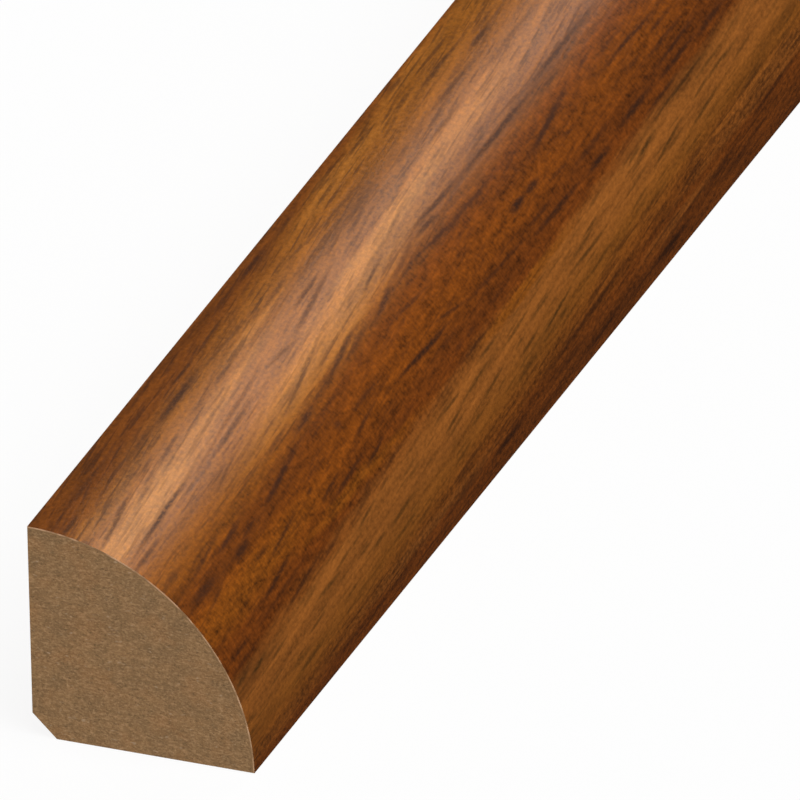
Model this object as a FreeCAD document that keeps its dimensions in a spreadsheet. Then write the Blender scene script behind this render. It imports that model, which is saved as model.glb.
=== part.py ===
import FreeCAD, Part
import math
import os
from enum import IntEnum

import Sketcher

# Quarter round moulding: a fibreboard stick with a printed decor wrap glued on its curved face.
# Millimetres. The stick lies on its floor face, +X along its length, +Y to the wall, +Z up.
# The origin is on the floor under the middle of the stick. Both sections are drawn about the
# room corner, the line where wall and floor meet, and each body is placed from there.

# Driving dimensions: name, value, what it measures
DIMENSIONS = [
    ("stock_length", 2387.6, "length that the stick is sold in"),
    ("leg", 19.05, "height on the wall and depth on the floor, wrap included"),
    ("wrap_thickness", 0.2, "printed decor wrap, glue line included"),
    ("corner_chamfer", 2.05, "relief across the room corner, measured along each leg"),
]

V = FreeCAD.Vector
# Where the curve starts and ends, turning about the room corner from the floor's +Y side
TOP_ANGLE, FRONT_ANGLE = math.pi / 2, math.pi


class Point(IntEnum):
    """The points of a line or an arc, as a sketch numbers them."""

    START = 1
    END = 2
    CENTRE = 3


class Axis(IntEnum):
    """A sketch's own axes, as it numbers them. Both start at its origin."""

    FLOOR = -1
    WALL = -2


ROOM_CORNER = (Axis.FLOOR, Point.START)

doc = FreeCAD.newDocument("quarter_round_moulding")


def make_sheet():
    sheet = doc.addObject("Spreadsheet::Sheet", "sizes")
    for row, (name, value, meaning) in enumerate(DIMENSIONS, start=1):
        sheet.set(f"A{row}", name)
        sheet.set(f"B{row}", str(value))
        sheet.setAlias(f"B{row}", name)
        sheet.set(f"C{row}", meaning)
    doc.recompute()
    return sheet


def make_body(name):
    """A body whose own origin is the room corner, set back from the row's origin by half a leg."""
    body = doc.addObject("PartDesign::Body", name)
    body.Label = name
    body.setExpression("Placement.Base.y", "sizes.leg / 2")
    return body


def section_sketch(body, name):
    """A sketch across the stick: its x is the row's +Y and its y is the row's +Z."""
    sketch = body.newObject("Sketcher::SketchObject", name)
    plane = next(p for p in body.Origin.OriginFeatures if p.Role == "YZ_Plane")
    sketch.AttachmentSupport = [(plane, "")]
    sketch.MapMode = "FlatFace"
    return sketch


def add_line(sketch, start, end):
    return sketch.addGeometry(Part.LineSegment(start, end), False)


def add_quarter_arc(sketch, radius, name, formula):
    """A quarter circle about the room corner, from its top end to its front end."""
    circle = Part.Circle(V(0, 0, 0), V(0, 0, 1), radius)
    arc = sketch.addGeometry(Part.ArcOfCircle(circle, TOP_ANGLE, FRONT_ANGLE), False)
    join(sketch, arc, Point.CENTRE, *ROOM_CORNER)
    bound = sketch.addConstraint(Sketcher.Constraint("Radius", arc, radius))
    sketch.renameConstraint(bound, name)
    sketch.setExpression(f"Constraints.{name}", formula)
    return arc


def join(sketch, first, first_point, second, second_point):
    sketch.addConstraint(
        Sketcher.Constraint("Coincident", first, first_point, second, second_point)
    )


def pad_along_stick(body, sketch, name):
    """The section carried half the stock length each way from the middle of the stick."""
    pad = body.newObject("PartDesign::Pad", name)
    pad.Profile = sketch
    pad.SideType = "Symmetric"
    pad.setExpression("Length", "sizes.stock_length")
    doc.recompute()
    return pad


def make_core(leg, wrap):
    """Fibreboard stick: two square legs, a quarter round face and a relieved room corner."""
    body = make_body("fibreboard_core")
    sketch = section_sketch(body, "core_section")
    radius = leg - wrap
    wall = add_line(sketch, V(0, 0, 0), V(0, radius, 0))
    floor = add_line(sketch, V(-radius, 0, 0), V(0, 0, 0))
    curve = add_quarter_arc(
        sketch, radius, "core_radius", "sizes.leg - sizes.wrap_thickness"
    )
    join(sketch, wall, Point.START, *ROOM_CORNER)
    join(sketch, wall, Point.END, curve, Point.START)
    join(sketch, floor, Point.START, curve, Point.END)
    join(sketch, floor, Point.END, *ROOM_CORNER)
    sketch.addConstraint(Sketcher.Constraint("Vertical", wall))
    sketch.addConstraint(Sketcher.Constraint("Horizontal", floor))
    pad = pad_along_stick(body, sketch, "core_pad")

    relief = body.newObject("PartDesign::Chamfer", "corner_relief")
    relief.Base = (pad, [room_corner_edge(pad)])
    relief.setExpression("Size", "sizes.corner_chamfer")
    doc.recompute()
    return body


def room_corner_edge(pad):
    """Name of the long edge that lies in the room corner, the line through the body's origin."""
    for number, edge in enumerate(pad.Shape.Edges, start=1):
        if edge.CenterOfMass.Length < Part.Precision.confusion():
            return f"Edge{number}"
    raise RuntimeError("the core has no edge along the room corner")


def make_wrap(leg, wrap):
    """Decor wrap: a thin shell on the curved face, trimmed flush with the wall and floor faces."""
    body = make_body("decor_wrap")
    sketch = section_sketch(body, "wrap_section")
    inner_radius = leg - wrap
    outside = add_quarter_arc(sketch, leg, "outer_radius", "sizes.leg")
    inside = add_quarter_arc(
        sketch, inner_radius, "inner_radius", "sizes.leg - sizes.wrap_thickness"
    )
    top_edge = add_line(sketch, V(0, inner_radius, 0), V(0, leg, 0))
    front_edge = add_line(sketch, V(-leg, 0, 0), V(-inner_radius, 0, 0))
    join(sketch, top_edge, Point.START, inside, Point.START)
    join(sketch, top_edge, Point.END, outside, Point.START)
    join(sketch, front_edge, Point.START, outside, Point.END)
    join(sketch, front_edge, Point.END, inside, Point.END)
    sketch.addConstraint(Sketcher.Constraint("PointOnObject", outside, Point.START, Axis.WALL))
    sketch.addConstraint(Sketcher.Constraint("PointOnObject", outside, Point.END, Axis.FLOOR))
    sketch.addConstraint(Sketcher.Constraint("Vertical", top_edge))
    sketch.addConstraint(Sketcher.Constraint("Horizontal", front_edge))
    pad_along_stick(body, sketch, "wrap_pad")
    return body


def check(bodies):
    failed = [o.Name for o in doc.Objects if {"Invalid", "Error"} & set(o.State)]
    if failed:
        raise RuntimeError(f"these objects failed: {failed}")
    for body in bodies:
        if body.Shape.isNull() or not body.Shape.isValid():
            raise RuntimeError(f"{body.Label} has no valid shape")
        if len(body.Shape.Solids) != 1:
            raise RuntimeError(f"{body.Label} is not one solid")


sheet = make_sheet()
bodies = [
    make_core(sheet.leg, sheet.wrap_thickness),
    make_wrap(sheet.leg, sheet.wrap_thickness),
]
doc.recompute()
check(bodies)
os.makedirs("parts", exist_ok=True)
for body in bodies:
    body.Shape.exportStep(f"parts/{body.Label}.step")
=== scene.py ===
import math
from typing import NamedTuple

import bpy
import numpy as np
from bpy.props import (
    FloatProperty,
    FloatVectorProperty,
    IntProperty,
    PointerProperty,
)
from mathutils import Matrix, Vector


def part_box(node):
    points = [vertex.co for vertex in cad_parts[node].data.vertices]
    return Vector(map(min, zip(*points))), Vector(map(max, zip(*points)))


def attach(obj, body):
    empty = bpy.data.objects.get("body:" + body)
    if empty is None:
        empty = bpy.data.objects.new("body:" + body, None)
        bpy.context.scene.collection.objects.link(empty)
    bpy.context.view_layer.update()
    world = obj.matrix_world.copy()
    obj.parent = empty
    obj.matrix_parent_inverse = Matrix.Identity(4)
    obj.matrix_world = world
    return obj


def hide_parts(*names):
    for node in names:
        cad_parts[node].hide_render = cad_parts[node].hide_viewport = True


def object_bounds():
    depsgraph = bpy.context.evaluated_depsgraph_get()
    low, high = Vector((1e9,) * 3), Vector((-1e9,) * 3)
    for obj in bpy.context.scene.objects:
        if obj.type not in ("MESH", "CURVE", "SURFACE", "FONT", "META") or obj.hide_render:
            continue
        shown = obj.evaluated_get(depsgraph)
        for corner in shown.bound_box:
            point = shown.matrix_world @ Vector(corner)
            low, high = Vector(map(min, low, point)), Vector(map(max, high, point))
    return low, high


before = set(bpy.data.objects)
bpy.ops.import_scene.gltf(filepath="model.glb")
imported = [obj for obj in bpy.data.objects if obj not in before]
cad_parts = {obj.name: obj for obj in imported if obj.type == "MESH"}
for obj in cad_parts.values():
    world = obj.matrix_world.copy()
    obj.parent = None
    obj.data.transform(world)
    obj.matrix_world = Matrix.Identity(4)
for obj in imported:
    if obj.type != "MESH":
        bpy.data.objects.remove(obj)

bl_info = {
    "name": "Quarter Round Moulding",
    "version": (1, 0, 0),
    "blender": (4, 5, 0),
    "location": "View3D > Sidebar > Moulding",
    "description": "Builds a fibreboard quarter round moulding with a printed wood-grain wrap",
    "category": "Add Mesh",
}

BODY = "root"
CORE_NODE, WRAP_NODE = "fibreboard_core", "decor_wrap"
MM = 0.001
# A vertex this near a face lies on it
ON_FACE = 0.01 * MM
# Depth of the print's grain and of the board's sawn fibre
GRAIN_RELIEF, FIBRE_RELIEF = 0.012 * MM, 0.08 * MM
PRINT_MAP, BAKE_MAP, FLAT_PLACE = "print", "OFBake", "flat_place"

CAD_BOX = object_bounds()
CORE_BOX, WRAP_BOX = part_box(CORE_NODE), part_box(WRAP_NODE)


def corner_relief():
    """How far the core's relieved corner reaches up the wall face, read from the core itself."""
    wall_y = CORE_BOX[1].y
    heights = [
        v.co.z
        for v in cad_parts[CORE_NODE].data.vertices
        if abs(v.co.y - wall_y) < ON_FACE
    ]
    return min(heights) - CORE_BOX[0].z


def srgb(code):
    """Scene linear colour of a #rrggbb code."""
    parts = [int(code[i : i + 2], 16) / 255 for i in (1, 3, 5)]
    return tuple(p / 12.92 if p <= 0.04045 else ((p + 0.055) / 1.055) ** 2.4 for p in parts)


# Settings


def colour(name, code, description):
    return FloatVectorProperty(
        name=name, description=description, subtype="COLOR", size=3, min=0, max=1, default=srgb(code)
    )


def length(name, default, description):
    return FloatProperty(
        name=name, description=description, default=default, min=0, unit="LENGTH", precision=5
    )


def angle(name, degrees, description):
    return FloatProperty(
        name=name, description=description, subtype="ANGLE", default=math.radians(degrees)
    )


def share(name, default, description):
    return FloatProperty(
        name=name, description=description, subtype="FACTOR", default=default, min=0, max=1
    )


def strength(name, default, description):
    return FloatProperty(name=name, description=description, default=default, min=0)


class StickSizes(bpy.types.PropertyGroup):
    """Sizes of the stick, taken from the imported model."""

    stock: length("Stock length", WRAP_BOX[1].x - WRAP_BOX[0].x, "Length of the stick")
    leg: length("Leg", WRAP_BOX[1].z - WRAP_BOX[0].z, "Height on the wall, wrap included")
    wrap: length("Wrap", WRAP_BOX[1].z - CORE_BOX[1].z, "Thickness of the printed wrap")
    relief: length("Corner relief", corner_relief(), "Flat across the room corner, along each leg")
    round_steps: IntProperty(
        name="Round steps", description="Facets round the quarter circle", default=64, min=8
    )
    run_steps: IntProperty(
        name="Run steps", description="Facets along the stick", default=16, min=8
    )


class PrintLook(bpy.types.PropertyGroup):
    """Colours and finish of the printed wrap."""

    umber: colour("Umber", "#774011", "Dark band at the back edge")
    chestnut: colour("Chestnut", "#935718", "Band between the dark edge and the orange field")
    amber: colour("Amber", "#9e5c14", "Orange field")
    # Apricot is partly the print's lighter patches and partly a painted highlight in the satin band
    apricot_and_sheen: colour("Apricot", "#c98132", "Light patches in the orange field")
    sienna: colour("Sienna", "#864a0e", "Where the orange field turns red-brown")
    russet: colour("Russet", "#783d0a", "Mottled red-brown field")
    mahogany: colour("Mahogany", "#6d360b", "Darkest red-brown, beside the golden band")
    honey: colour("Honey", "#8f5420", "Clean golden band")
    fawn: colour("Fawn", "#864e19", "Lower side of the golden band")
    walnut: colour("Walnut", "#70390e", "Brown field at the front edge")
    streak: colour("Streak", "#371b09", "Dark streaks")
    pore: colour("Pore", "#37250a", "Short dark pores in the golden band")
    cut_edge: colour("Cut edge", "#e2b48a", "Bare edge of the wrap")
    glue: colour("Glue line", "#9a744c", "Glue line under the wrap's bare edge")
    roughness: share("Roughness", 0.34, "Satin finish of the wrap")


class BoardLook(bpy.types.PropertyGroup):
    """Colours and finish of the bare fibreboard."""

    shade: colour("Shade", "#826543", "Fibre in shade")
    body: colour("Body", "#a37c51", "Main colour of the board")
    warm: colour("Warm", "#aa7a4b", "Redder clouds in the board")
    light: colour("Light", "#c89e70", "Fibre that catches light")
    chip: colour("Chip", "#d2b695", "Pale flat chips of fibre")
    speck: colour("Speck", "#4e3a26", "Dark specks of bark")
    roughness: share("Roughness", 0.9, "Dry sawn face")


class StageLook(bpy.types.PropertyGroup):
    """Camera, even light and lamps."""

    azimuth: angle("Azimuth", -67.31, "Camera's direction round the stick")
    elevation: angle("Elevation", 29.04, "Camera's height angle")
    roll: angle("Roll", -1.64, "Camera's turn about its own axis")
    picture_width: length("Picture width", 63.84 * MM, "Width that the picture covers")
    aim_right: length("Aim right", 29.28 * MM, "Picture middle from the near room corner, rightwards")
    aim_up: length("Aim up", 26.73 * MM, "Picture middle from the near room corner, upwards")
    distance: length("Distance", 1.0, "Camera from the near end")
    sky: strength("Sky", 0.06, "Even light all round")
    top_lamp: strength("Top lamp", 2.26, "Soft lamp above and in front")
    sheen_lamp: strength("Sheen lamp", 0.385, "Lamp past the far end that draws the satin band")
    front_lamp: strength("Front lamp", 0.93, "Soft lamp in front of the curve")
    end_lamp: strength("End lamp", 1.02, "Level lamp that lights the near end alone")
    back_lamp: strength("Back lamp", 2.8, "Level lamp behind the wall face and far end")


# Node expressions


class Wire:
    """A node's socket that takes part in Python arithmetic by adding Math nodes."""

    def __init__(self, bench, socket):
        self.bench = bench
        self.socket = socket

    def __add__(self, other):
        return self.bench.maths("ADD", self, other)

    def __radd__(self, other):
        return self.bench.maths("ADD", other, self)

    def __sub__(self, other):
        return self.bench.maths("SUBTRACT", self, other)

    def __rsub__(self, other):
        return self.bench.maths("SUBTRACT", other, self)

    def __mul__(self, other):
        return self.bench.maths("MULTIPLY", self, other)

    def __rmul__(self, other):
        return self.bench.maths("MULTIPLY", other, self)

    def __truediv__(self, other):
        return self.bench.maths("DIVIDE", self, other)

    def __rtruediv__(self, other):
        return self.bench.maths("DIVIDE", other, self)

    def __abs__(self):
        return self.bench.maths("ABSOLUTE", self)


def set_stops(ramp, stops):
    """Gives a colour ramp its stops, each a position and a colour."""
    while len(ramp.elements) < len(stops):
        ramp.elements.new(1.0)
    for element, (position, tint) in zip(ramp.elements, stops):
        element.position = position
        element.color = (*tint, 1.0)


class Bench:
    """The nodes of one tree, laid down one by one."""

    # How far one unit of seed moves a noise along each axis
    SEED_STEP = (1.0, 1.7, 0.6)

    def __init__(self, tree):
        self.tree = tree
        tree.nodes.clear()

    def node(self, kind, settings=None, inputs=None, output=0):
        """Adds a node, its settings first, then the values or links of its sockets."""
        made = self.tree.nodes.new(kind)
        for name, value in (settings or {}).items():
            if name == "stops":
                set_stops(made.color_ramp, value)
            else:
                setattr(made, name, value)
        for key, value in (inputs or {}).items():
            if isinstance(value, Wire):
                self.tree.links.new(value.socket, made.inputs[key])
            else:
                made.inputs[key].default_value = value
        return Wire(self, made.outputs[output]) if made.outputs else None

    def outputs(self, wire):
        """Every output of the node that a wire comes from."""
        return [Wire(self, socket) for socket in wire.socket.node.outputs]

    def maths(self, operation, *values):
        return self.node("ShaderNodeMath", {"operation": operation}, dict(enumerate(values)))

    def vector_maths(self, operation, *values, output=0):
        return self.node(
            "ShaderNodeVectorMath", {"operation": operation}, dict(enumerate(values)), output
        )

    def larger(self, first, second):
        return self.maths("MAXIMUM", first, second)

    def fade(self, value, low, high, top=1.0):
        """0 below low and top above high, smooth between. With low above high it falls instead."""
        return self.node(
            "ShaderNodeMapRange",
            {"interpolation_type": "SMOOTHSTEP", "clamp": False},
            {"Value": value, "From Min": low, "From Max": high, "To Max": top},
        )

    def mix(self, factor, first, second, blend="MIX"):
        """The first colour at 0 and the second at 1, or the two put together by another blend."""
        first, second = (c if isinstance(c, Wire) else (*c, 1.0) for c in (first, second))
        return self.node(
            "ShaderNodeMix",
            {"data_type": "RGBA", "blend_type": blend},
            {0: factor, 6: first, 7: second},
            output=2,
        )

    def split(self, vector):
        return self.outputs(self.node("ShaderNodeSeparateXYZ", inputs={0: vector}))

    def join(self, x, y, z=0.0):
        return self.node("ShaderNodeCombineXYZ", inputs={0: x, 1: y, 2: z})

    def noise(self, place, cell, detail=2.0, roughness=0.5, seed=0.0, flat=True):
        """Cloudy value from 0 to 1 whose features are about as large as cell, in the units of place."""
        scale = [1 / c for c in cell] + [1.0] * (3 - len(cell))
        shift = [seed * step for step in self.SEED_STEP]
        shifted = self.vector_maths("MULTIPLY_ADD", place, scale, shift)
        return self.node(
            "ShaderNodeTexNoise",
            {"noise_dimensions": "2D" if flat else "3D"},
            {"Vector": shifted, "Scale": 1.0, "Detail": detail, "Roughness": roughness},
        )

    def ramp(self, value, stops):
        return self.node("ShaderNodeValToRGB", {"stops": stops}, {0: value})

    def surface(self, **inputs):
        """A Principled surface on the material's output."""
        shader = self.node(
            "ShaderNodeBsdfPrincipled",
            inputs={name.replace("_", " "): value for name, value in inputs.items()},
        )
        self.node("ShaderNodeOutputMaterial", inputs={"Surface": shader})

    def bump(self, height, distance, strength):
        return self.node(
            "ShaderNodeBump",
            inputs={"Height": height, "Distance": distance, "Strength": strength},
        )


def new_material(name):
    """A new material, and the bench that lays down its nodes."""
    material = bpy.data.materials.new(name)
    material.use_nodes = True
    return material, Bench(material.node_tree)


# Printed wood grain, in millimetres along the stick and round its curve from the back edge


# How far round the curve each colour of the print lies
BANDS = (
    (0.0, "umber"),
    (2.6, "umber"),
    (4.6, "chestnut"),
    (5.6, "chestnut"),
    (7.6, "amber"),
    (9.6, "amber"),
    (12.8, "sienna"),
    (14.4, "russet"),
    (17.6, "russet"),
    (20.0, "mahogany"),
    (21.4, "mahogany"),
    (22.5, "honey"),
    (24.6, "honey"),
    (26.6, "fawn"),
    (29.4, "walnut"),
    (33.0, "walnut"),
    (37.0, "chestnut"),
)
# The ramp of bands starts this far before the back edge and covers this much
BEFORE_BACK, RAMP_REACH = 6, 44
# How far the bands climb round the curve, over what length, and how widely they wander further on
CLIMB, CLIMB_LENGTH, WANDER = 5, 225, 7
# Between these lengths the placed streaks and patches give way to scattered ones
PLACED_END = (104, 128)


class Streak(NamedTuple):
    """A lens of grain: where it starts and ends along the stick, and its place round the curve there."""

    start: float
    end: float
    start_around: float
    end_around: float
    width: float
    depth: float


# The strongest dark streaks of the print's first length, placed one by one: at the back edge, in the orange
# field, in the red-brown field, and in the golden band and at the front edge
BACK_STREAKS = (
    Streak(0, 3.5, 3.1, 3.05, 0.6, 0.7),
    Streak(3, 13, 1.9, 1.7, 0.6, 0.6),
    Streak(14, 21, 3.3, 3.15, 0.5, 0.5),
    Streak(19.5, 28.5, 3.35, 3.25, 0.8, 0.85),
    Streak(25, 30.5, 2.25, 2.1, 0.45, 0.75),
    Streak(28, 37, 3.3, 3.6, 0.45, 0.5),
    Streak(28, 32, 5.05, 4.9, 0.4, 0.5),
    Streak(40, 46, 4.25, 3.9, 0.5, 0.5),
    Streak(42.5, 49, 1.0, 0.85, 0.65, 0.8),
    Streak(50, 55.5, 1.0, 0.8, 0.55, 0.55),
    Streak(46, 58, 3.1, 3.8, 0.4, 0.4),
    Streak(54, 63, 3.6, 3.9, 0.45, 0.45),
    Streak(55, 63, 5.0, 4.8, 0.6, 0.45),
    Streak(57, 61.5, 2.15, 2.0, 0.4, 0.55),
    Streak(64.7, 70, 1.5, 1.45, 0.45, 0.7),
    Streak(75.2, 78.8, 0.7, 0.65, 0.6, 0.6),
    Streak(73, 77.3, 2.2, 2.15, 0.5, 0.5),
    Streak(77.5, 86.3, 2.75, 2.7, 0.45, 0.7),
    Streak(85, 89.8, 3.9, 3.8, 0.6, 0.7),
    Streak(87, 92, 3.2, 3.2, 0.5, 0.5),
    Streak(75, 83, 4.7, 4.7, 0.6, 0.6),
)
AMBER_STREAKS = (
    Streak(0, 9, 6.35, 5.35, 0.5, 0.75),
    Streak(7.5, 12, 6.3, 6.05, 0.4, 0.4),
    Streak(0, 5.5, 9.7, 9.5, 0.6, 0.65),
    Streak(2, 14.5, 8.85, 8.15, 0.6, 0.85),
    Streak(14, 19.5, 5.75, 5.2, 0.4, 0.45),
    Streak(15.5, 20.5, 10.6, 9.95, 0.4, 0.55),
    Streak(15.5, 22, 8.5, 7.85, 0.4, 0.4),
    Streak(19.5, 27.5, 8.7, 8.2, 0.5, 0.65),
    Streak(18.5, 27, 6.9, 6.3, 0.4, 0.4),
    Streak(20, 26, 10.6, 9.9, 0.4, 0.4),
    Streak(20, 32, 8.0, 7.15, 0.5, 0.45),
    Streak(25.5, 29, 6.45, 6.1, 0.35, 0.4),
    Streak(23.5, 28, 12.0, 11.6, 0.45, 0.55),
    Streak(29.5, 38.5, 10.95, 9.6, 0.4, 0.65),
    Streak(34, 40, 10.1, 9.3, 0.4, 0.5),
    Streak(33, 38.5, 7.5, 7.95, 0.45, 0.5),
    Streak(35.5, 44, 12.1, 10.9, 0.55, 0.7),
    Streak(38.5, 44, 9.4, 8.9, 0.35, 0.4),
    Streak(39, 46, 12.2, 11.5, 0.6, 0.6),
    Streak(39, 49, 7.55, 6.4, 0.6, 0.65),
    Streak(42, 47.5, 6.2, 5.9, 0.5, 0.7),
    Streak(47, 51.5, 11.9, 11.1, 0.65, 0.8),
    Streak(48.5, 54, 9.75, 9.0, 0.4, 0.6),
    Streak(50, 60, 8.9, 8.1, 0.4, 0.3),
    Streak(52, 59, 11.0, 10.0, 0.6, 0.5),
    Streak(54.5, 59.5, 5.9, 5.2, 0.55, 0.5),
    Streak(55, 63, 8.6, 7.6, 0.4, 0.4),
    Streak(59, 69, 9.55, 9.9, 0.55, 0.75),
    Streak(59, 63, 10.2, 10.35, 0.55, 0.75),
    Streak(57, 64, 11.3, 11.8, 0.45, 0.7),
    Streak(61, 71, 11.75, 11.85, 0.4, 0.55),
    Streak(72, 78, 12.6, 11.75, 0.4, 0.45),
    Streak(69, 85, 9.95, 10.0, 0.6, 0.8),
    Streak(71, 77.5, 6.2, 6.15, 0.5, 0.5),
    Streak(77.5, 87.5, 13.2, 11.9, 0.6, 0.8),
    Streak(84, 97, 9.55, 9.6, 0.55, 0.65),
    Streak(84, 88.7, 10.6, 10.65, 0.4, 0.5),
    Streak(90, 93.5, 11.85, 11.6, 0.4, 0.5),
    Streak(93, 98.5, 12.3, 12.3, 0.4, 0.5),
    Streak(85, 95, 5.95, 5.7, 0.5, 0.4),
)
RUSSET_STREAKS = (
    Streak(0, 4, 12.4, 12.1, 0.7, 0.5),
    Streak(3.5, 10.5, 13.65, 12.95, 0.45, 0.55),
    Streak(2, 6.5, 14.95, 14.95, 1.0, 0.75),
    Streak(9, 14, 14.0, 13.5, 0.6, 0.8),
    Streak(12.5, 16, 14.75, 14.35, 0.4, 0.55),
    Streak(9.5, 12.5, 15.65, 15.3, 0.35, 0.45),
    Streak(10.3, 13.2, 15.2, 15.1, 0.9, 0.8),
    Streak(12, 15, 16.6, 16.5, 0.6, 0.5),
    Streak(14, 20.5, 17.5, 16.6, 0.5, 0.8),
    Streak(18.5, 26, 14.3, 13.5, 0.6, 0.9),
    Streak(28, 32.5, 12.6, 12.4, 0.65, 0.85),
    Streak(28, 37, 13.6, 13.0, 0.5, 0.35),
    Streak(26, 33, 18.5, 17.95, 0.5, 0.8),
    Streak(32.2, 33.4, 14.9, 14.85, 1.0, 0.6),
    Streak(24, 28, 15.85, 15.4, 0.4, 0.5),
    Streak(23.4, 24.4, 16.55, 16.45, 0.5, 0.6),
    Streak(24.5, 28.5, 17.85, 17.4, 0.45, 0.75),
    Streak(33, 39, 16.75, 15.9, 0.5, 0.7),
    Streak(32.5, 36.8, 19.0, 18.35, 0.45, 0.85),
    Streak(43.5, 53.5, 16.35, 16.65, 0.5, 1.0),
    Streak(48.3, 54.5, 13.0, 13.4, 0.4, 0.6),
    Streak(49.5, 54.5, 17.5, 17.5, 0.5, 0.4),
    Streak(52, 53.6, 18.55, 18.5, 0.5, 0.55),
    Streak(54.3, 56, 18.55, 18.5, 0.5, 0.55),
    Streak(52, 57.5, 15.75, 16.6, 0.4, 0.65),
    Streak(57.5, 69, 16.75, 17.1, 0.45, 0.6),
    Streak(59.5, 62.5, 18.4, 18.3, 0.5, 0.4),
    Streak(69.8, 72.8, 14.9, 14.85, 0.9, 1.0),
    Streak(73.2, 75.8, 14.85, 14.85, 0.75, 0.85),
    Streak(76.5, 80.5, 15.7, 15.85, 0.4, 0.55),
    Streak(81.8, 84, 14.2, 14.5, 0.4, 0.55),
    Streak(70.5, 75, 16.8, 16.75, 0.45, 0.6),
    Streak(71, 79.5, 17.65, 17.7, 0.65, 0.9),
    Streak(81.5, 86, 17.8, 17.75, 0.75, 1.0),
    Streak(89, 95.5, 17.35, 17.3, 0.7, 0.95),
    Streak(93, 103, 13.35, 13.5, 0.45, 0.8),
    Streak(94.5, 97.3, 14.9, 14.9, 0.5, 0.5),
    Streak(100.3, 104.8, 14.4, 14.4, 0.45, 0.6),
    Streak(80, 88, 16.6, 16.4, 0.6, 0.6),
    Streak(105, 111, 17.6, 17.4, 0.7, 0.8),
    Streak(97.5, 105, 15.6, 15.5, 0.4, 0.65),
    Streak(98, 106, 16.65, 16.4, 0.45, 0.75),
    Streak(35.5, 41, 15.1, 15.0, 0.6, 0.65),
    Streak(2.5, 7, 16.4, 15.6, 0.5, 0.55),
    Streak(97.5, 104.7, 17.45, 17.35, 0.5, 0.85),
    Streak(93, 99.7, 18.5, 18.3, 0.5, 0.8),
    Streak(93, 105, 19.3, 18.95, 0.4, 0.7),
    Streak(101.8, 107.3, 19.85, 19.6, 0.4, 0.55),
    Streak(1, 5.5, 20.5, 20.3, 0.5, 0.65),
    Streak(0.5, 6.5, 21.4, 21.1, 0.45, 0.55),
    Streak(7, 19, 20.4, 19.7, 0.5, 0.5),
    Streak(0, 3.5, 22.5, 22.05, 0.45, 0.6),
    Streak(3.3, 6.3, 22.75, 22.45, 0.45, 0.7),
    Streak(9.5, 16.5, 19.35, 18.6, 0.5, 0.85),
    Streak(12, 20.5, 21.5, 20.45, 0.5, 0.75),
    Streak(20.5, 24, 21.2, 20.75, 0.4, 0.65),
    Streak(26.5, 31.5, 21.05, 20.55, 0.4, 0.55),
    Streak(30.3, 32, 20.1, 19.8, 0.5, 0.6),
    Streak(33, 39.5, 20.5, 19.9, 0.35, 0.5),
    Streak(51.5, 57.8, 19.65, 19.55, 0.4, 0.75),
)
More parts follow.
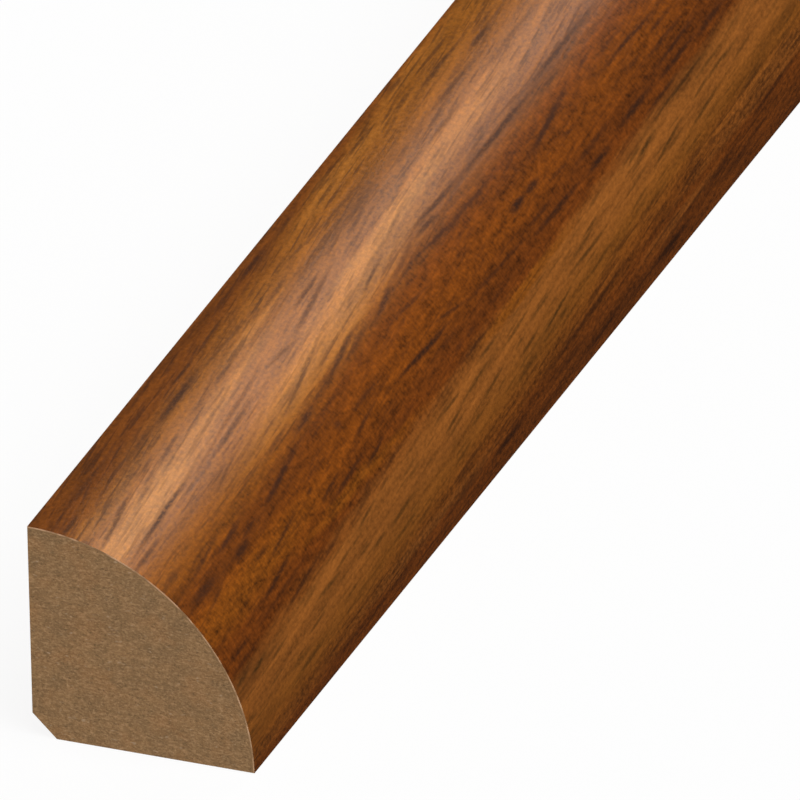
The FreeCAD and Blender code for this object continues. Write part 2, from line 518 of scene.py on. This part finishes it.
FRONT_STREAKS = (
    Streak(10, 16.5, 26.6, 26.1, 0.55, 0.65),
    Streak(0, 2, 25.5, 25.4, 0.5, 0.5),
    Streak(9.5, 14, 25.6, 25.5, 0.5, 0.45),
    Streak(14.5, 17.5, 22.45, 22.05, 0.4, 0.4),
    Streak(17.3, 21.7, 23.1, 23.1, 0.45, 0.65),
    Streak(25.5, 28, 23.7, 23.5, 0.4, 0.45),
    Streak(27, 31, 21.85, 21.3, 0.4, 0.65),
    Streak(32.5, 34.5, 21.05, 20.9, 0.4, 0.5),
    Streak(36, 40, 22.55, 22.3, 0.35, 0.45),
    Streak(28, 30.5, 24.2, 24.0, 0.5, 0.6),
    Streak(31.5, 37, 24.2, 23.8, 0.45, 0.6),
    Streak(31.5, 37, 25.5, 25.1, 0.45, 0.55),
    Streak(45.5, 49.5, 21.25, 21.1, 0.4, 0.65),
    Streak(48.5, 55.5, 22.0, 21.3, 0.35, 0.6),
    Streak(52.3, 57, 23.3, 22.8, 0.4, 0.65),
    Streak(54, 58, 20.65, 20.55, 0.45, 0.65),
    Streak(58, 64, 21.75, 21.2, 0.35, 0.6),
    Streak(60, 62, 22.6, 22.4, 0.35, 0.55),
    Streak(54.5, 57, 23.95, 23.6, 0.35, 0.45),
    Streak(49, 51.8, 24.1, 23.95, 0.35, 0.5),
    Streak(58.3, 63, 24.9, 24.6, 0.5, 0.6),
    Streak(63.5, 68.5, 22.1, 21.7, 0.45, 0.6),
    Streak(64.5, 71.5, 23.9, 22.95, 0.4, 0.75),
    Streak(67.7, 69.8, 24.1, 24.0, 0.4, 0.55),
    Streak(72, 79.5, 22.2, 22.0, 0.45, 0.65),
    Streak(72.5, 79, 21.55, 21.0, 0.4, 0.5),
    Streak(73, 80.5, 23.8, 23.3, 0.4, 0.5),
    Streak(75.5, 79.5, 24.9, 24.8, 0.45, 0.5),
    Streak(85, 91, 24.3, 23.7, 0.45, 0.55),
    Streak(88, 93, 20.5, 19.8, 0.45, 0.75),
    Streak(90.5, 97, 22.0, 21.1, 0.4, 0.7),
    Streak(95, 99, 24.4, 24.2, 0.5, 0.55),
    Streak(98.8, 101.2, 24.8, 24.8, 0.6, 0.6),
    Streak(98, 104, 22.4, 21.8, 0.4, 0.7),
    Streak(95.5, 99, 23.5, 23.35, 0.35, 0.5),
    Streak(84.5, 92.5, 26.15, 26.0, 0.4, 0.55),
    Streak(107, 111, 25.9, 25.75, 0.45, 0.6),
    Streak(102.5, 109.5, 20.6, 20.4, 0.45, 0.65),
    Streak(105, 112, 24.1, 23.7, 0.45, 0.65),
    Streak(17, 25, 28.8, 28.6, 0.7, 0.5),
    Streak(29.5, 35, 28.7, 28.5, 0.7, 0.5),
    Streak(41, 50, 28.3, 27.7, 0.9, 0.6),
    Streak(51.5, 58, 28.2, 28.0, 0.8, 0.95),
    Streak(63, 82, 26.8, 25.7, 0.7, 0.7),
    Streak(64, 73, 27.9, 27.6, 0.8, 0.6),
    Streak(100, 107, 28.4, 28.2, 0.9, 0.6),
    Streak(86, 93, 28.6, 28.4, 0.8, 0.95),
    Streak(87, 99, 27.9, 27.2, 0.6, 0.5),
    Streak(97, 104, 27.6, 27.0, 0.8, 0.8),
    Streak(107, 116, 26.6, 25.9, 0.6, 0.85),
)


# Wide soft patches where the print's first length is lighter, darker, more golden or redder than its band;
# the lighter patches are partly lighter print and partly a painted highlight along the satin band
PALE_AND_SHEEN_PATCHES = (
    Streak(-8, 20, 7.4, 6.9, 3.0, 0.95),
    Streak(8, 36, 7.0, 5.8, 1.6, 0.5),
    Streak(-4, 12, 4.6, 4.4, 1.4, 0.3),
    Streak(30, 42, 4.8, 4.4, 1.2, 0.35),
    Streak(22, 62, 10.8, 8.6, 3.4, 0.6),
    Streak(42, 72, 8.4, 7.4, 1.9, 0.7),
    Streak(60, 86, 7.5, 7.2, 2.4, 0.3),
    Streak(42, 54, 9.3, 9.0, 1.0, 0.35),
    Streak(52, 72, 1.9, 1.7, 1.8, 0.35),
    Streak(70, 92, 1.0, 0.9, 1.4, 0.25),
)
DARK_PATCHES = (
    Streak(18, 40, 0.4, 0.4, 0.8, 0.4),
    Streak(48, 98, 5.2, 4.8, 1.8, 0.22),
    Streak(44, 64, 4.8, 4.4, 0.9, 0.25),
    Streak(-4, 36, 10.0, 10.5, 2.4, 0.2),
    Streak(5, 22, 9.1, 8.6, 1.0, 0.28),
    Streak(80, 102, 10.2, 9.4, 1.4, 0.25),
    Streak(-4, 6, 13.9, 13.8, 1.0, 0.4),
    Streak(-8, 27, 15.0, 14.7, 1.9, 0.48),
    Streak(13, 30, 13.6, 13.2, 1.2, 0.3),
    Streak(24, 36, 14.0, 14.2, 2.0, 0.2),
    Streak(20.5, 24, 15.0, 14.9, 1.2, 0.25),
    Streak(40, 72, 17.6, 18.2, 1.6, 0.25),
    Streak(68, 92, 13.2, 13.0, 2.4, 0.22),
    Streak(80, 98, 15.0, 14.8, 1.4, 0.3),
    Streak(57, 72, 11.5, 11.9, 1.0, 0.3),
    Streak(58, 96, 9.8, 9.6, 3.2, 0.18),
    Streak(66, 99, 5.9, 5.8, 1.2, 0.18),
    Streak(82, 96, 3.7, 3.9, 1.6, 0.25),
    Streak(48, 124, 17.2, 16.6, 3.0, 0.2),
    Streak(19, 35, 20.7, 20.3, 0.9, 0.35),
    Streak(80, 92, 19.5, 19.2, 1.0, 0.3),
    Streak(90, 108, 19.1, 18.7, 1.8, 0.35),
    Streak(-4, 9, 22.6, 22.4, 2.8, 0.4),
    Streak(26, 46, 23.4, 23.4, 1.6, 0.15),
    Streak(-4, 8, 26.8, 26.8, 1.4, 0.25),
    Streak(66, 92, 28.8, 28.6, 1.4, 0.35),
)
GOLDEN_PATCHES = (
    Streak(18, 72, 20.9, 19.6, 1.6, 0.55),
    Streak(94, 126, 25.7, 25.3, 1.5, 0.6),
    Streak(22, 52, 27.7, 27.4, 1.3, 0.6),
    Streak(84, 99, 27.2, 27.0, 1.2, 0.45),
    Streak(98, 126, 24.9, 24.6, 1.8, 0.6),
    Streak(-6, 16, 28.6, 28.4, 1.6, 0.3),
)
RUDDY_PATCHES = (
    Streak(6, 24, 12.7, 12.6, 1.2, 0.6),
    Streak(-6, 24, 17.5, 17.3, 3.4, 0.6),
    Streak(19, 42, 18.9, 19.4, 1.3, 0.7),
    Streak(56, 74, 19.9, 19.5, 1.0, 0.8),
)


def placed_streaks(bench, along, around, streaks):
    """The deepest of these streaks at each point, 0 where there is none."""
    # Half a lens as a share of the streak's run, and where the lens is full and where it is gone
    half, heart, rim = 0.62, 0.2, 1.3
    # The deepest so far rides as the third coordinate, next to nothing in the length, so that the
    # renderer works the streaks out one after another and keeps only one of them in hand
    unfelt = 1e6
    total = 0.0
    for s in streaks:
        run, rise = s.end - s.start, s.end_around - s.start_around
        local = bench.node(
            "ShaderNodeMapping",
            {"vector_type": "TEXTURE"},
            {
                "Vector": bench.join(along, around, total),
                "Location": (s.start + run / 2, s.start_around + rise / 2, 0),
                "Rotation": (0, 0, math.atan2(rise, run)),
                "Scale": (run * half, s.width / 2, unfelt),
            },
        )
        out = bench.vector_maths("LENGTH", local, output=1)
        total = bench.larger(total, bench.fade(out, rim, heart, s.depth))
    return total


def scattered_pores(bench, place, cell, half_size, share_of_cells, seed):
    """Short dark dashes, at most one in each cell, in a share of the cells."""
    # Where a dash is full and where it is gone, the edge of the share, and the depth of the faintest
    heart, rim, edge, faintest = 0.3, 1.1, 0.05, 0.4
    spread = bench.vector_maths(
        "MULTIPLY_ADD", place, (1 / cell[0], 1 / cell[1], 0), (seed, seed * 1.9, 0)
    )
    cells = bench.node(
        "ShaderNodeTexVoronoi",
        {"voronoi_dimensions": "2D"},
        {"Vector": spread, "Scale": 1.0, "Randomness": 0.9},
    )
    _, colours, middles, *_ = bench.outputs(cells)
    luck, depth, _ = bench.split(colours)
    stretch = (cell[0] / half_size[0], cell[1] / half_size[1], 0)
    offset = bench.vector_maths("MULTIPLY", bench.vector_maths("SUBTRACT", spread, middles), stretch)
    out = bench.vector_maths("LENGTH", offset, output=1)
    dash = bench.fade(out, rim, heart)
    chosen = bench.fade(luck, share_of_cells + edge, share_of_cells)
    return dash * chosen * (depth * (1 - faintest) + faintest)


def decor_print(look):
    """Printed face of the wrap: coloured bands, then patches, grain by noise, and dark streaks over all."""
    material, bench = new_material("decor_print")
    place = bench.node("ShaderNodeUVMap", {"uv_map": PRINT_MAP})
    along, around, _ = bench.split(place)

    # The bands drift slowly along the stick, and their edges are ragged
    further = bench.fade(along, *PLACED_END)
    climb = bench.maths("MINIMUM", along, CLIMB_LENGTH) * (math.pi / 2 / CLIMB_LENGTH)
    drift = bench.maths("SINE", climb) * CLIMB
    drift = drift + (bench.noise(bench.join(along, 0.0), (380, 1), 1, seed=6.6) - 0.5) * further * WANDER
    swell = (bench.noise(place, (34, 6), 1, seed=3.1) - 0.5) * 1.2
    ragged = (bench.noise(place, (5, 0.6), 3, 0.6, 9.4) - 0.5) * 1.2
    band = around + drift + swell + ragged
    field = bench.ramp(
        (band + BEFORE_BACK) / RAMP_REACH,
        [((place_round + BEFORE_BACK) / RAMP_REACH, getattr(look, name)) for place_round, name in BANDS],
    )

    # How far a point lies in each field, 0 to 1
    mottled = bench.fade(band, 12, 14) * bench.fade(band, 22.2, 21.2)
    golden = bench.fade(band, 21.6, 22.8) * bench.fade(band, 28.0, 26.0)
    orange = bench.fade(band, 5, 7) * bench.fade(band, 13, 11)
    front = bench.fade(band, 26.5, 28.5)
    plain = 1 - golden * 0.85 - orange * 0.4 - mottled * 0.5

    # Grain runs a little across the stick, in slow waves
    wave = (bench.noise(place, (40, 9), 1, seed=5.7) - 0.5) * 1.6
    grain = bench.join(along, around + along * 0.065 + wave)
    broad = bench.noise(grain, (26, 1.1), 2, 0.5, 1.3) - 0.5
    dash = bench.noise(grain, (5.0, 0.42), 2, 0.55, 4.4) - 0.5
    speckle = bench.noise(place, (0.55, 0.3), 2, 0.6, 2.2) - 0.5
    blotch = bench.noise(place, (1.9, 0.65), 2, 0.6, 7.7) - 0.5
    cross = bench.noise(place, (0.28, 0.7), 2, 0.6, 7.7) - 0.5

    # Patches: placed ones on the first length, and like ones by noise on the rest
    light_cloud = bench.fade(bench.noise(grain, (22, 2.2), 1, seed=14.1), 0.5, 0.68) * orange
    dark_cloud = bench.fade(bench.noise(grain, (24, 2.0), 1, seed=17.7), 0.54, 0.74)
    # The pale patches, in apricot, are partly lighter print and partly a painted highlight along the satin
    # band; the noise clouds further on are print alone
    pale = placed_streaks(bench, along, around + ragged, PALE_AND_SHEEN_PATCHES)
    pale = bench.larger(pale, light_cloud * further * 0.45)
    deep = placed_streaks(bench, along, around + ragged, DARK_PATCHES)
    deep = bench.larger(deep, dark_cloud * further * 0.22)
    gilt = placed_streaks(bench, along, around + ragged, GOLDEN_PATCHES)
    ruddy = placed_streaks(bench, along, around + ragged, RUDDY_PATCHES)
    field = bench.mix(pale, field, look.apricot_and_sheen)
    field = bench.mix(gilt, field, look.honey)
    field = bench.mix(ruddy, field, look.sienna)
    field = bench.mix(deep, field, look.streak)

    # The noises shade the field, each field in its own measure
    # The fine grain fades under the pale patches, so that their painted highlight stays smooth
    fine = (dash * 0.6 + speckle * 1.05) * (front * 0.5 - golden * 0.2 - pale * 0.45 + 1)
    shade = 1 + broad * 0.8 + fine + (blotch * 1.2 + cross * 0.9 - dash * 0.3) * mottled
    tint = bench.mix(1.0, field, bench.join(shade, shade, shade), "MULTIPLY")

    # Dark streaks: long ones by noise, pores and hairs scattered, and the placed ones
    back = bench.fade(band, 6.0, 4.0)
    long_grain = bench.noise(grain, (7, 0.36), 1.5, 0.5, 8.8) + back * 0.03
    lines = bench.fade(long_grain, 0.56, 0.74) * plain * 0.55
    leaning = bench.join(along, around + along * 0.1 + wave * 0.3)
    pores = scattered_pores(bench, leaning, (8, 0.95), (2.4, 0.2), 0.45, 11.3) * (golden * 0.3 + 0.3)
    hairs = scattered_pores(bench, grain, (5, 0.62), (1.9, 0.13), 0.5, 3.9) * (0.42 - mottled * 0.22)
    wobble = (bench.noise(place, (4, 0.9), 3, 0.65, 6.3) - 0.5) * 0.3
    broken = bench.fade(bench.noise(place, (0.6, 0.24), 2, 0.6, 5.1), 0.3, 0.56) * 0.35 + 0.68
    wavering = bench.join(along, around + along * 0.06 + wave * 0.3 + wobble)
    strays = scattered_pores(bench, wavering, (9, 1.15), (3.8, 0.26), 0.6, 7.3) * further
    every = (*BACK_STREAKS, *AMBER_STREAKS, *RUSSET_STREAKS, *FRONT_STREAKS)
    placed = placed_streaks(bench, along, around + wobble, every)
    scattered = bench.larger(bench.larger(lines, hairs), pores)
    dark = bench.larger(scattered, bench.larger(placed, strays) * broken)
    tint = bench.mix(dark, tint, bench.mix(golden, look.streak, look.pore))

    bench.surface(
        Base_Color=tint,
        Roughness=dark * 0.12 + speckle * 0.06 + look.roughness,
        Specular_IOR_Level=0.25,
        Normal=bench.bump(dash + speckle, GRAIN_RELIEF, 0.6),
    )
    return material


def wrap_edge(look, sizes):
    """Bare edge of the wrap: pale paper outside, the glue line inside."""
    paper_share, blur, fibre_size = 0.6, 0.02 * MM, 1.1 * MM
    material, bench = new_material("wrap_cut_edge")
    place = bench.node("ShaderNodeTexCoord", output="Object")
    across = bench.vector_maths("MULTIPLY_ADD", place, (0, 1, 1), (0, -WRAP_BOX[1].y, 0))
    radius = bench.vector_maths("LENGTH", across, output=1)
    fibre = bench.noise(place, (fibre_size,) * 3, 3, 0.6, seed=1.0, flat=False)
    paper = bench.mix(bench.fade(fibre, 0.3, 0.65), look.glue, look.cut_edge)
    middle = sizes.leg - sizes.wrap * paper_share
    tint = bench.mix(bench.fade(radius, middle - blur, middle + blur), look.glue, paper)
    bench.surface(Base_Color=tint, Roughness=0.8)
    return material


# Bare fibreboard, in metres


def fibreboard(look):
    """Bare board: clouds of colour, fine fibre that lies level, fuzz, pale chips and dark specks."""
    material, bench = new_material("fibreboard")
    place = bench.node("ShaderNodeTexCoord", output="Object")

    def felt(x, y, z, detail, seed):
        """Noise whose features have these sizes in millimetres."""
        return bench.noise(place, (x * MM, y * MM, z * MM), detail, 0.6, seed, flat=False)

    cloud = felt(2.4, 2.4, 1.5, 2, 0.4)
    warmth = felt(3.2, 3.2, 2.4, 2, 5.2)
    fibre = felt(0.62, 0.62, 0.3, 4, 2.6)
    fuzz = felt(0.24, 0.24, 0.15, 2, 8.1)
    chip = felt(0.8, 0.8, 0.3, 1, 3.7)
    tint = bench.mix(bench.fade(cloud, 0.35, 0.65) * 0.5, look.body, look.shade)
    tint = bench.mix(bench.fade(warmth, 0.45, 0.7) * 0.5, tint, look.warm)
    tint = bench.mix(bench.fade(fibre, 0.48, 0.75) * 0.7, tint, look.light)
    tint = bench.mix(bench.fade(fibre, 0.5, 0.28) * 0.65, tint, look.shade)
    tint = bench.mix(bench.fade(fuzz, 0.5, 0.74) * 0.62, tint, look.light)
    tint = bench.mix(bench.fade(fuzz, 0.46, 0.22) * 0.6, tint, look.speck)
    tint = bench.mix(bench.fade(chip, 0.66, 0.82) * 0.5, tint, look.chip)
    bench.surface(
        Base_Color=tint,
        Roughness=look.roughness,
        Normal=bench.bump(fibre + fuzz * 0.6, FIBRE_RELIEF, 0.5),
    )
    return material


# Stick pieces: a straight strip of material bent round the room corner


def bent_strip_tree():
    """Node tree that bends a box of steps round the room corner between two radii."""
    tree = bpy.data.node_groups.new("bent_strip", "GeometryNodeTree")
    tree.is_modifier = True
    face = tree.interface
    for name, kind in (
        ("Length", "NodeSocketFloat"),
        ("Outer Radius", "NodeSocketFloat"),
        ("Inner Radius", "NodeSocketFloat"),
        ("Corner Relief", "NodeSocketFloat"),
        ("Wall Y", "NodeSocketFloat"),
        ("Run Steps", "NodeSocketInt"),
        ("Round Steps", "NodeSocketInt"),
        ("Face Material", "NodeSocketMaterial"),
        ("Edge Material", "NodeSocketMaterial"),
    ):
        face.new_socket(name, in_out="INPUT", socket_type=kind)
    face.new_socket("Geometry", in_out="OUTPUT", socket_type="NodeSocketGeometry")

    bench = Bench(tree)

    def store(geometry, name, kind, domain, value):
        return bench.node(
            "GeometryNodeStoreNamedAttribute",
            {"data_type": kind, "domain": domain},
            {"Geometry": geometry, "Name": name, "Value": value},
        )

    def above(value, limit):
        return bench.node(
            "FunctionNodeCompare",
            {"data_type": "FLOAT", "operation": "GREATER_THAN"},
            {0: value, 1: limit},
        )

    given = {wire.socket.name: wire for wire in bench.outputs(bench.node("NodeGroupInput"))}
    box = bench.node(
        "GeometryNodeMeshCube",
        inputs={
            "Size": bench.join(given["Length"], 1.0, 1.0),
            "Vertices X": given["Run Steps"] + 1,
            "Vertices Y": given["Round Steps"] + 1,
            "Vertices Z": 2,
        },
    )
    x, y, z = bench.split(bench.node("GeometryNodeInputPosition"))

    # The box's y runs from the front edge to the back edge and its z from the inner to the outer face
    run = x / given["Length"] + 0.5
    rise, depth = y + 0.5, z + 0.5
    turn = (0.5 - y) * (math.pi / 2)
    sine, cosine = bench.maths("SINE", turn), bench.maths("COSINE", turn)
    arc = turn * given["Outer Radius"]
    from_end = run * given["Length"]
    mapped = store(box, PRINT_MAP, "FLOAT2", "CORNER", bench.join(from_end / MM, arc / MM))
    marked = store(mapped, FLAT_PLACE, "FLOAT_VECTOR", "POINT", bench.join(run, rise, depth))

    # The inner side is a circle, or the flat of the relieved corner where that lies further out
    inner = bench.larger(given["Inner Radius"], given["Corner Relief"] / (sine + cosine))
    radius = bench.maths("MULTIPLY_ADD", given["Outer Radius"] - inner, depth, inner)
    bent = bench.join(x, given["Wall Y"] - radius * sine, radius * cosine)
    placed = bench.node("GeometryNodeSetPosition", inputs={"Geometry": marked, "Position": bent})

    # A face is broad where it lies wholly on the inner or the outer side
    nearly_half, sharp = 0.49, math.radians(40)
    kept_place = bench.node(
        "GeometryNodeInputNamedAttribute", {"data_type": "FLOAT_VECTOR"}, {"Name": FLAT_PLACE}
    )
    _, _, kept_depth = bench.split(kept_place)
    broad = above(abs(kept_depth - 0.5), nearly_half)
    rounded = bench.node(
        "GeometryNodeSetShadeSmooth", inputs={"Geometry": placed, "Shade Smooth": broad}
    )
    creased = bench.node(
        "GeometryNodeSetShadeSmooth",
        {"domain": "EDGE"},
        {
            "Geometry": rounded,
            "Selection": above(bench.node("GeometryNodeInputMeshEdgeAngle"), sharp),
            "Shade Smooth": False,
        },
    )
    whole = bench.node("GeometryNodeRealizeInstances", inputs={"Geometry": creased})
    edged = bench.node(
        "GeometryNodeSetMaterial", inputs={"Geometry": whole, "Material": given["Edge Material"]}
    )
    dressed = bench.node(
        "GeometryNodeSetMaterial",
        inputs={"Geometry": edged, "Selection": broad, "Material": given["Face Material"]},
    )
    bench.node("NodeGroupOutput", inputs={"Geometry": dressed})
    return tree


def bend_piece(name, values):
    """A plain mesh piece from the bent strip tree, with its inputs set by their identifiers."""
    tree = bpy.data.node_groups.get("bent_strip") or bent_strip_tree()
    piece = bpy.data.objects.new(name, bpy.data.meshes.new(name))
    bpy.context.scene.collection.objects.link(piece)
    modifier = piece.modifiers.new("bend", "NODES")
    modifier.node_group = tree
    for item in tree.interface.items_tree:
        if item.in_out == "INPUT":
            modifier[item.identifier] = values[item.name]
    depsgraph = bpy.context.evaluated_depsgraph_get()
    mesh = bpy.data.meshes.new_from_object(piece.evaluated_get(depsgraph), depsgraph=depsgraph)
    piece.modifiers.clear()
    piece.data = mesh
    mesh.name = name
    if not mesh.polygons:
        raise RuntimeError(f"{name} came out empty")
    return piece


# Bake map: each side of a piece cut into lengths that lie in rows, the near length on a row of its own


class Side(NamedTuple):
    """A side of the flat strip: the axis that it faces and where it lies on it, and the axis across it."""

    facing: int
    at: float
    across: int


RUN, RISE, DEPTH = range(3)
SIDES = {
    "outer": Side(DEPTH, 1, RISE),
    "inner": Side(DEPTH, 0, RISE),
    "back": Side(RISE, 1, DEPTH),
    "front": Side(RISE, 0, DEPTH),
}
# Row heights as shares of the map, the hidden sides least
CORE_ROWS = {"outer": 0.002, "inner": 0.01, "back": 0.07, "front": 0.03, "ends": 0.26}
WRAP_ROWS = {"outer": 0.14, "inner": 0.002, "back": 0.004, "front": 0.004, "ends": 0.02}
BAKE_GAP = 0.002
FURTHER_LENGTHS = 5
# A quad whose middle is this near a side of the flat strip lies on it
ON_SIDE = 1e-4


def lay_bake_map(mesh, rows, run_steps):
    """Adds the bake map from the flat places that the tree stored, and removes those."""
    corner_vertex = np.empty(len(mesh.loops), int)
    mesh.loops.foreach_get("vertex_index", corner_vertex)
    place = np.empty(len(mesh.vertices) * 3)
    mesh.attributes[FLAT_PLACE].data.foreach_get("vector", place)
    quads = place.reshape(-1, 3)[corner_vertex].reshape(-1, 4, 3)
    middle = quads.mean(1)
    chart = np.zeros((len(quads), 4, 2))

    further_cuts = np.round(np.linspace(1, run_steps, FURTHER_LENGTHS + 1))
    cuts = np.concatenate(([0], further_cuts)) / run_steps
    level = BAKE_GAP
    for name, side in SIDES.items():
        on_side = abs(middle[:, side.facing] - side.at) < ON_SIDE
        for start, end in zip(cuts, cuts[1:]):
            here = on_side & (middle[:, RUN] > start) & (middle[:, RUN] < end)
            along = (quads[here, :, RUN] - start) / (end - start)
            chart[here, :, 0] = BAKE_GAP + along * (1 - 2 * BAKE_GAP)
            chart[here, :, 1] = level + quads[here, :, side.across] * rows[name]
            level += rows[name] + BAKE_GAP
    for end in (0, 1):
        here = abs(middle[:, RUN] - end) < ON_SIDE
        chart[here, :, 0] = end / 2 + BAKE_GAP + quads[here, :, RISE] * (0.5 - 2 * BAKE_GAP)
        chart[here, :, 1] = level + quads[here, :, DEPTH] * rows["ends"]
    if level + rows["ends"] > 1:
        raise RuntimeError(f"{mesh.name}'s bake rows don't fit on its map")
    layer = mesh.uv_layers.new(name=BAKE_MAP, do_init=False)
    layer.uv.foreach_set("vector", chart.ravel())
    mesh.uv_layers[PRINT_MAP].active_render = True
    mesh.attributes.remove(mesh.attributes[FLAT_PLACE])


def finish_piece(piece, node):
    """Says which body the piece rides on and which node it replaces."""
    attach(piece, BODY)
    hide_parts(node)


# Piece operators


class MOULDING_OT_core(bpy.types.Operator):
    """Build the fibreboard core"""

    bl_idname = "moulding.core"
    bl_label = "Fibreboard Core"

    def execute(self, context):
        sizes = context.scene.moulding_sizes
        board = fibreboard(context.scene.moulding_board)
        piece = bend_piece(
            "core_stick",
            {
                "Length": sizes.stock,
                "Outer Radius": sizes.leg - sizes.wrap,
                "Inner Radius": 0.0,
                "Corner Relief": sizes.relief,
                "Wall Y": CORE_BOX[1].y,
                "Run Steps": sizes.run_steps,
                "Round Steps": sizes.round_steps,
                "Face Material": board,
                "Edge Material": board,
            },
        )
        lay_bake_map(piece.data, CORE_ROWS, sizes.run_steps)
        finish_piece(piece, CORE_NODE)
        return {"FINISHED"}


class MOULDING_OT_wrap(bpy.types.Operator):
    """Build the printed decor wrap"""

    bl_idname = "moulding.wrap"
    bl_label = "Decor Wrap"

    def execute(self, context):
        sizes = context.scene.moulding_sizes
        look = context.scene.moulding_print
        piece = bend_piece(
            "decor_strip",
            {
                "Length": sizes.stock,
                "Outer Radius": sizes.leg,
                "Inner Radius": sizes.leg - sizes.wrap,
                "Corner Relief": 0.0,
                "Wall Y": WRAP_BOX[1].y,
                "Run Steps": sizes.run_steps,
                "Round Steps": sizes.round_steps,
                "Face Material": decor_print(look),
                "Edge Material": wrap_edge(look, sizes),
            },
        )
        lay_bake_map(piece.data, WRAP_ROWS, sizes.run_steps)
        finish_piece(piece, WRAP_NODE)
        return {"FINISHED"}


# Stage


class Lamp(NamedTuple):
    """A lamp of the stage: the name of its setting, its disc in degrees, and the way from stick to lamp."""

    name: str
    spread: float
    towards: tuple


LAMPS = (
    Lamp("top_lamp", 50, (-0.22, -0.41, 0.885)),
    Lamp("front_lamp", 50, (-0.27, -0.8, 0.53)),
    Lamp("sheen_lamp", 18, (0.807, -0.104, 0.581)),
    Lamp("end_lamp", 3, (-0.97, 0.24, 0.03)),
    Lamp("back_lamp", 3, (0.6, 0.8, 0.03)),
)
WHITE = (1, 1, 1, 1)


def camera_turn(stage):
    """Camera axes as columns: right, up and back."""
    a, e = stage.azimuth, stage.elevation
    back = Vector((math.sin(a) * math.cos(e), -math.cos(a) * math.cos(e), math.sin(e)))
    right = Vector((math.cos(a), math.sin(a), 0))
    turn = Matrix.Rotation(stage.roll, 3, back)
    right = turn @ right
    return Matrix((right, back.cross(right), back)).transposed()


def add_camera(scene, stage):
    """A camera without perspective, aimed from the near room corner."""
    data = bpy.data.cameras.new("camera")
    data.type = "ORTHO"
    data.ortho_scale = stage.picture_width
    data.clip_end = 20
    camera = bpy.data.objects.new("camera", data)
    scene.collection.objects.link(camera)
    axes = camera_turn(stage)
    near_corner = Vector((CAD_BOX[0].x, CAD_BOX[1].y, CAD_BOX[0].z))
    aim = near_corner + axes @ Vector((stage.aim_right, stage.aim_up, stage.distance))
    camera.matrix_world = Matrix.LocRotScale(aim, axes.to_quaternion(), None)
    scene.camera = camera


def add_lamp(scene, stage, lamp):
    """A sun with a disc of its own: light that is the same along the whole stick."""
    data = bpy.data.lights.new(lamp.name, "SUN")
    data.energy = getattr(stage, lamp.name)
    data.angle = math.radians(lamp.spread)
    sun = bpy.data.objects.new(lamp.name, data)
    sun.rotation_mode = "QUATERNION"
    sun.rotation_quaternion = Vector(lamp.towards).to_track_quat("Z", "Y")
    scene.collection.objects.link(sun)


def camera_ray(bench):
    """1 where the ray comes straight from the camera, 0 elsewhere."""
    return bench.node("ShaderNodeLightPath", output="Is Camera Ray")


def add_floor(scene):
    """A floor that is white to the camera but for the stick's faint shadow, and dark to all other rays."""
    half, below = 4.0, 0.05 * MM
    dark_grey, paper, glow_share = (0.04, 0.04, 0.04, 1), (0.95, 0.95, 0.95, 1), 0.9
    level = CAD_BOX[0].z - below
    mesh = bpy.data.meshes.new("floor")
    mesh.from_pydata(
        [(-half, -half, level), (half, -half, level), (half, half, level), (-half, half, level)],
        [],
        [(0, 1, 2, 3)],
    )
    floor = bpy.data.objects.new("floor", mesh)
    scene.collection.objects.link(floor)
    material, bench = new_material("floor")
    unseen = bench.node("ShaderNodeBsdfDiffuse", inputs={"Color": dark_grey})
    glow = bench.node("ShaderNodeEmission", inputs={"Color": WHITE, "Strength": 1.0})
    shaded = bench.node("ShaderNodeBsdfDiffuse", inputs={"Color": paper})
    seen = bench.node("ShaderNodeMixShader", inputs={0: glow_share, 1: shaded, 2: glow})
    mixed = bench.node("ShaderNodeMixShader", inputs={0: camera_ray(bench), 1: unseen, 2: seen})
    bench.node("ShaderNodeOutputMaterial", inputs={"Surface": mixed})
    mesh.materials.append(material)


def add_world(scene, stage):
    """White to the camera, and a weak even light to all other rays."""
    world = bpy.data.worlds.new("studio")
    world.use_nodes = True
    bench = Bench(world.node_tree)
    even = bench.node("ShaderNodeBackground", inputs={"Strength": stage.sky, "Color": WHITE})
    seen = bench.node("ShaderNodeBackground", inputs={"Strength": 1.0, "Color": WHITE})
    mixed = bench.node("ShaderNodeMixShader", inputs={0: camera_ray(bench), 1: even, 2: seen})
    bench.node("ShaderNodeOutputWorld", inputs={"Surface": mixed})
    scene.world = world


class MOULDING_OT_stage(bpy.types.Operator):
    """Set up the camera, the lamps and the floor"""

    bl_idname = "moulding.stage"
    bl_label = "Stage"

    def execute(self, context):
        scene, stage = context.scene, context.scene.moulding_stage
        scene.view_settings.view_transform = "Standard"
        add_camera(scene, stage)
        add_world(scene, stage)
        for lamp in LAMPS:
            add_lamp(scene, stage, lamp)
        add_floor(scene)
        return {"FINISHED"}


# Panel and registration


class MOULDING_PT_panel(bpy.types.Panel):
    """Sidebar panel with one button per piece"""

    bl_idname = "MOULDING_PT_panel"
    bl_label = "Quarter Round Moulding"
    bl_space_type = "VIEW_3D"
    bl_region_type = "UI"
    bl_category = "Moulding"

    def draw(self, context):
        for step in STEPS:
            self.layout.operator(step.bl_idname)


SETTINGS = {
    "moulding_sizes": StickSizes,
    "moulding_print": PrintLook,
    "moulding_board": BoardLook,
    "moulding_stage": StageLook,
}
STEPS = (MOULDING_OT_core, MOULDING_OT_wrap, MOULDING_OT_stage)
CLASSES = (*SETTINGS.values(), *STEPS, MOULDING_PT_panel)


def register():
    for cls in CLASSES:
        bpy.utils.register_class(cls)
    for name, group in SETTINGS.items():
        setattr(bpy.types.Scene, name, PointerProperty(type=group))


def unregister():
    for name in SETTINGS:
        delattr(bpy.types.Scene, name)
    for cls in reversed(CLASSES):
        bpy.utils.unregister_class(cls)


def main():
    register()
    bpy.ops.moulding.core()
    bpy.ops.moulding.wrap()
    bpy.ops.moulding.stage()


if __name__ == "__main__":
    main()
